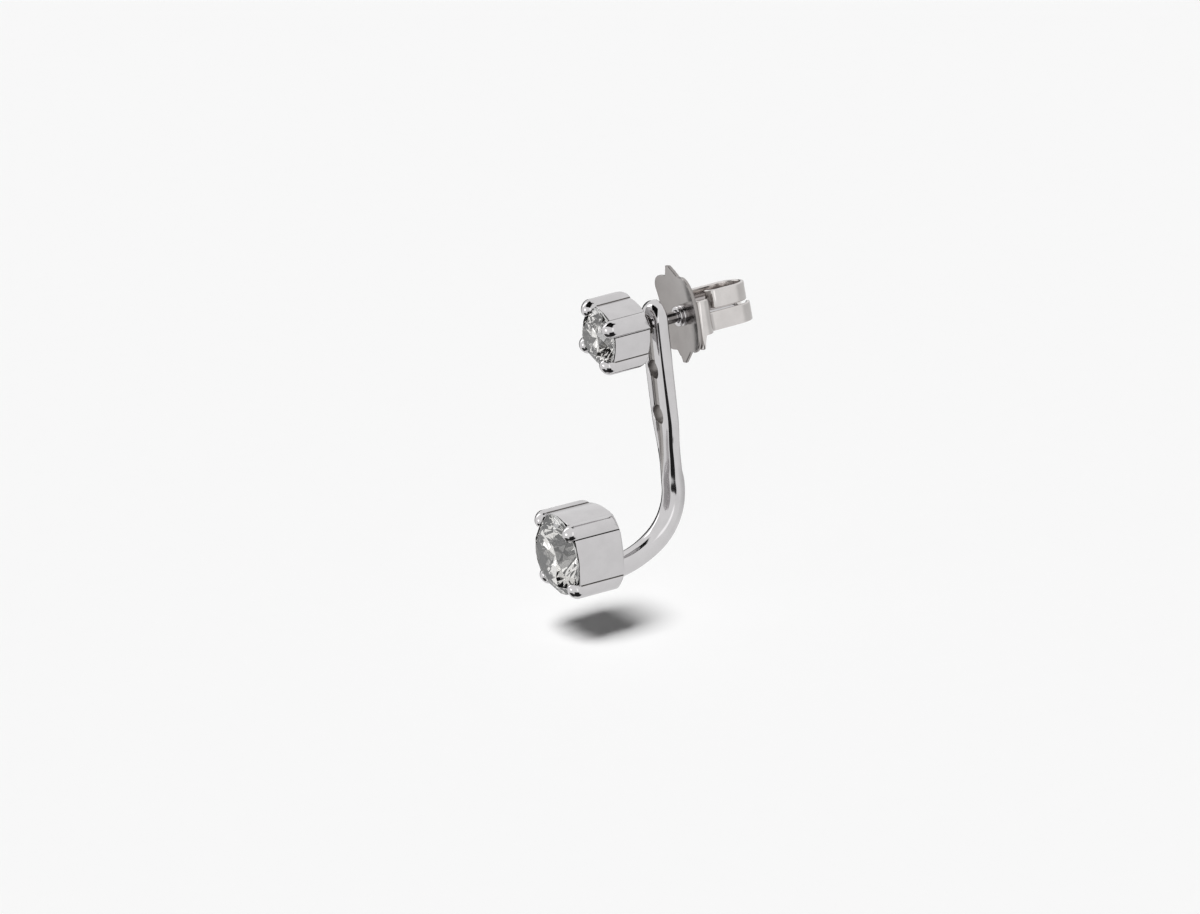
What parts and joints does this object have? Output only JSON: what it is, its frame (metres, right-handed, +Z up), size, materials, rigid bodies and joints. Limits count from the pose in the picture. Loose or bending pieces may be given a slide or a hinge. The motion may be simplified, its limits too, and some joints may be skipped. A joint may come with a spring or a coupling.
{
  "type": "drop earring",
  "caption": "Diamond drop earring: a claw-set stud whose post carries a curved bar with a larger claw-set diamond below the lobe, held by a butterfly back.",
  "frame": {"origin": "on the ear post's axis, at the front face of the jacket's bar, where the back of the ear lobe lies", "axes": "+Z up along the bar, -Y towards the stones' faces, +Y along the post to its tip, +X to the right of someone who looks at the stones' backs"},
  "size_m": [0.005, 0.0156, 0.0187],
  "materials": {
    "white_gold": "polished",
    "diamond": "polished"
  },
  "bodies": {
    "stud": {"stud_setting": "white_gold", "stud_diamond": "diamond"},
    "jacket": {"jacket": "white_gold", "drop_diamond": "diamond"},
    "clutch": {"clutch": "white_gold"}
  },
  "joints": [
    {"name": "jacket_swing", "type": "hinge", "parent": "stud", "child": "jacket", "pos_m": [0, 0, 0], "axis": [0, 1, 0], "continuous": true},
    {"name": "clutch_slide", "type": "slide", "parent": "stud", "child": "clutch", "axis": [0, 1, 0], "range_m": [-0.00085, 0.005]}
  ]
}
